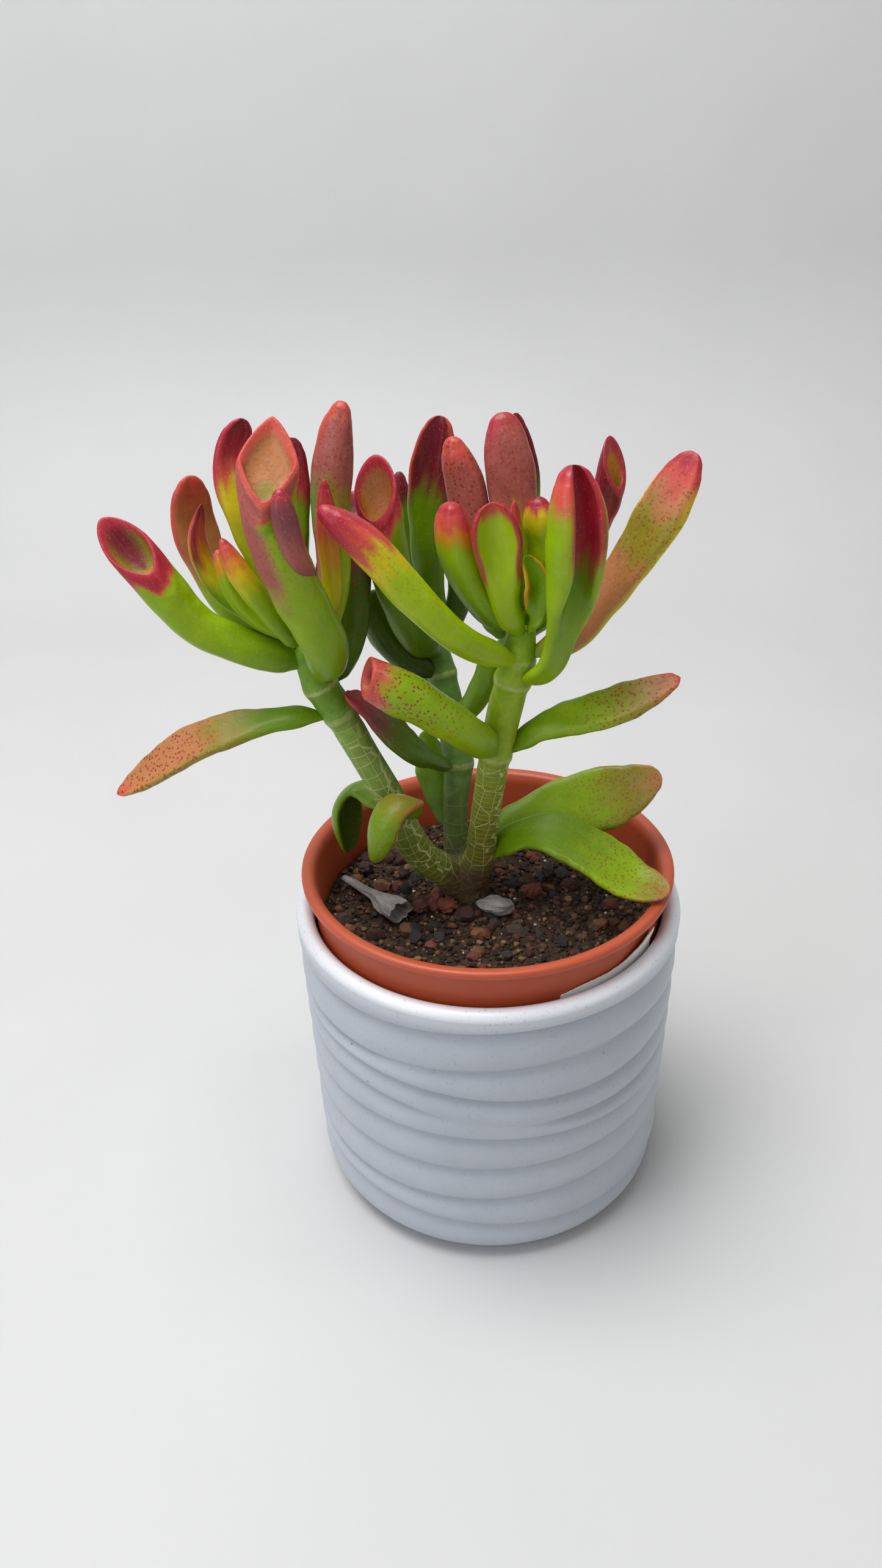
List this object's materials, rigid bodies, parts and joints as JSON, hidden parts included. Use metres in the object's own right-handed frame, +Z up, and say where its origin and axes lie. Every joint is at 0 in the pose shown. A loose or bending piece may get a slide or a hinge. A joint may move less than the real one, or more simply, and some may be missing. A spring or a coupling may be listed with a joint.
{
  "type": "potted succulent plant",
  "caption": "Branching jade succulent with rolled, trumpet-shaped leaves on corky stems, in a thin nursery pot standing inside a ribbed ceramic pot.",
  "frame": {"origin": "centre of the ceramic pot's flat underside", "axes": "+Z up, along the pots' shared axis; -Y is the front of the plant and +X is to the right seen from the front"},
  "size_m": [0.1757, 0.126, 0.2636],
  "materials": {
    "glaze": "satin",
    "terracotta_plastic": "satin, translucent where thin",
    "label_paper": "matte, blank",
    "potting_mix": "rough, granular",
    "lava_rock": "rough, porous",
    "bark": "corky, cracked",
    "leaf": "waxy, green turning red at the tips",
    "dry_leaf": "matte, shrivelled"
  },
  "bodies": {
    "root": {"ceramic_pot": "glaze", "nursery_pot": "terracotta_plastic", "label": "label_paper", "soil": "potting_mix", "trunk": "bark", "stem_left": "bark", "stem_right": "bark", "stem_middle": "bark", "lava_stone_1": "lava_rock", "lava_stone_2": "lava_rock", "lava_stone_3": "lava_rock", "lava_stone_4": "lava_rock", "lava_stone_5": "lava_rock", "dried_leaf_trumpet": "dry_leaf", "dried_leaf_curled": "dry_leaf", "leaf_left_trumpet": "leaf", "leaf_left_front": "leaf", "leaf_left_spoon": "leaf", "leaf_left_thin": "leaf", "leaf_left_short": "leaf", "leaf_left_fold": "leaf", "leaf_left_dark": "leaf", "leaf_left_tall": "leaf", "leaf_left_small": "leaf", "leaf_left_back": "leaf", "leaf_left_shade": "leaf", "leaf_left_inner": "leaf", "leaf_left_droop": "leaf", "leaf_left_low_front": "leaf", "leaf_left_low_back": "leaf", "leaf_right_long": "leaf", "leaf_right_taco": "leaf", "leaf_right_trumpet": "leaf", "leaf_right_channel": "leaf", "leaf_right_cup": "leaf", "leaf_right_blunt": "leaf", "leaf_right_sliver": "leaf", "leaf_right_slant": "leaf", "leaf_right_bud": "leaf", "leaf_right_tall": "leaf", "leaf_right_dark": "leaf", "leaf_right_streaked": "leaf", "leaf_right_low_trumpet": "leaf", "leaf_right_low_wavy": "leaf", "leaf_middle_trumpet": "leaf", "leaf_middle_tall": "leaf", "leaf_middle_shade": "leaf", "leaf_middle_far": "leaf", "leaf_middle_dark": "leaf", "leaf_middle_grey": "leaf", "leaf_middle_right": "leaf", "leaf_middle_right_back": "leaf", "leaf_middle_low_purple": "leaf", "leaf_middle_low_back": "leaf", "leaf_low_broad": "leaf", "leaf_low_arching": "leaf"}
  },
  "joints": []
}
